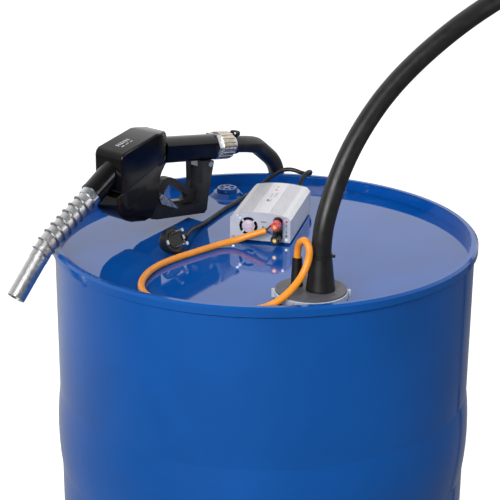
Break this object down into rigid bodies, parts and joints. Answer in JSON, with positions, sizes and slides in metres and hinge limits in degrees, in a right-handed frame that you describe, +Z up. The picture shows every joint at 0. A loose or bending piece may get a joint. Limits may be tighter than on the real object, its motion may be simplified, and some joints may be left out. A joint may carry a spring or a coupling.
{
  "type": "drum barrel pump",
  "caption": "Electric drum pump on a steel drum: delivery hose and cable rise from the bung, with a mains supply unit and a hand nozzle on the drum head.",
  "frame": {"origin": "middle of the drum's foot, on the floor", "axes": "+Z up along the drum's axis, -Y towards the pump's bung, +X to the right of it"},
  "size_m": [0.8318, 0.8646, 1.2571],
  "materials": {
    "drum_blue": "glossy saturated blue enamel",
    "zinc": "bright zinc",
    "brass": "bright brass",
    "black_rubber": "smooth black rubber",
    "hose_rubber": "satin black hose rubber",
    "black_plastic": "semi-gloss black plastic",
    "matt_black": "matt black plastic",
    "aluminium_case": "satin anodised",
    "cast_aluminium": "satin cast",
    "steel": "turned steel",
    "orange_sheath": "satin orange polyurethane",
    "red_plastic": "glossy red plastic",
    "natural_nylon": "translucent natural nylon",
    "green_lens": "green lens",
    "board_green": "circuit board",
    "grey_plastic": "grey moulded plastic",
    "stainless": "stainless steel",
    "core_sheath": "blue and brown core insulation"
  },
  "bodies": {
    "drum": {"drum_shell": "drum_blue", "drum_head": "drum_blue", "drum_bottom": "drum_blue", "vent_bung_flange": "drum_blue", "pump_bung_flange": "drum_blue", "adapter_gasket": "black_rubber", "adapter_flange": "zinc", "adapter_disc": "matt_black", "hose_boot": "black_rubber", "cable_boot": "black_rubber", "cable_ties": "natural_nylon", "riser_pipe": "hose_rubber", "inner_cable": "orange_sheath", "pump_head": "stainless", "pump_casing": "stainless", "motor_stator": "steel", "shaft_bearings": "steel", "volute_plate": "grey_plastic", "pump_strainer": "stainless", "discharge_hose": "hose_rubber", "pump_cable": "orange_sheath", "mains_cord": "black_rubber", "hose_clamp": "steel", "hose_tail": "zinc", "psu_case": "aluminium_case", "psu_front_plate": "aluminium_case", "psu_rear_plate": "aluminium_case", "psu_screws": "steel", "psu_feet": "black_rubber", "power_led": "green_lens", "fan_frame": "matt_black", "circuit_board": "board_green", "terminal_plate": "black_plastic", "terminal_studs": "brass", "core_wires": "core_sheath", "cord_gland": "black_rubber", "plug_body": "black_rubber", "plug_contacts": "brass"},
    "nozzle": {"nozzle_body": "black_plastic", "nozzle_cover": "black_plastic", "nozzle_nose": "black_plastic", "spout_collar": "zinc", "spout_tube": "cast_aluminium", "spout_spring": "steel", "handle_grip": "black_plastic", "guard_lug": "cast_aluminium", "trigger_guard": "black_plastic", "nozzle_pins": "steel", "inlet_hex": "zinc", "swivel_nut": "brass"},
    "trigger": {"trigger_lever": "black_plastic"},
    "valve": {"valve_stem": "stainless"},
    "latch": {"hold_latch": "zinc"},
    "pump_rotor": {"motor_rotor": "steel", "impeller": "grey_plastic"},
    "fan": {"fan_rotor": "matt_black"},
    "vent_seal": {"vent_gasket": "black_rubber"},
    "vent_screw": {"vent_plug": "drum_blue"},
    "red_post_knob": {"red_knob": "red_plastic"},
    "black_post_knob": {"black_knob": "black_plastic"}
  },
  "joints": [
    {"name": "nozzle_swivel", "type": "hinge", "parent": "drum", "child": "nozzle", "pos_m": [-0.13207, 0.08069, 0.9746], "axis": [0.6423, 0.752, -0.1483], "range_deg": [0, 30]},
    {"name": "trigger_squeeze", "type": "hinge", "parent": "nozzle", "child": "trigger", "pos_m": [-0.1548, 0.05408, 0.9066], "axis": [0.7604, -0.6494, 0], "range_deg": [0, 14], "stiffness_Nm_per_rad": 0.6, "springref_deg": -8.59},
    {"name": "valve_slide", "type": "slide", "parent": "nozzle", "child": "valve", "axis": [-0.6494, -0.7604, 0], "range_m": [0, 0.0045]},
    {"name": "latch_swing", "type": "hinge", "parent": "nozzle", "child": "latch", "pos_m": [-0.14452, 0.03871, 0.9141], "axis": [0.7604, -0.6494, 0], "range_deg": [0, 30]},
    {"name": "pump_rotor_spin", "type": "hinge", "parent": "drum", "child": "pump_rotor", "pos_m": [0.058, -0.223, 0.14], "axis": [0, 0, 1], "continuous": true},
    {"name": "fan_spin", "type": "hinge", "parent": "drum", "child": "fan", "pos_m": [-0.02152, 0.00537, 0.887], "axis": [0.2077, 0.9782, 0], "continuous": true},
    {"name": "vent_lift", "type": "slide", "parent": "drum", "child": "vent_seal", "axis": [0, 0, 1], "range_m": [0, 0.00726]},
    {"name": "vent_turn", "type": "hinge", "parent": "vent_seal", "child": "vent_screw", "pos_m": [-0.0585, 0.222, 0.87], "axis": [0, 0, 1], "range_deg": [0, 1440]},
    {"name": "red_knob_turn", "type": "hinge", "parent": "drum", "child": "red_post_knob", "pos_m": [0.01492, -0.02282, 0.8955], "axis": [-0.2077, -0.9782, 0], "range_deg": [0, 720]},
    {"name": "black_knob_turn", "type": "hinge", "parent": "drum", "child": "black_post_knob", "pos_m": [0.01492, -0.02282, 0.876], "axis": [-0.2077, -0.9782, 0], "range_deg": [0, 720]}
  ],
  "couplings": [
    {"joint": "valve_slide", "follows": "trigger_squeeze", "m_per_rad": 0.0178},
    {"joint": "vent_turn", "follows": "vent_lift", "rad_per_m": 3463.7}
  ]
}
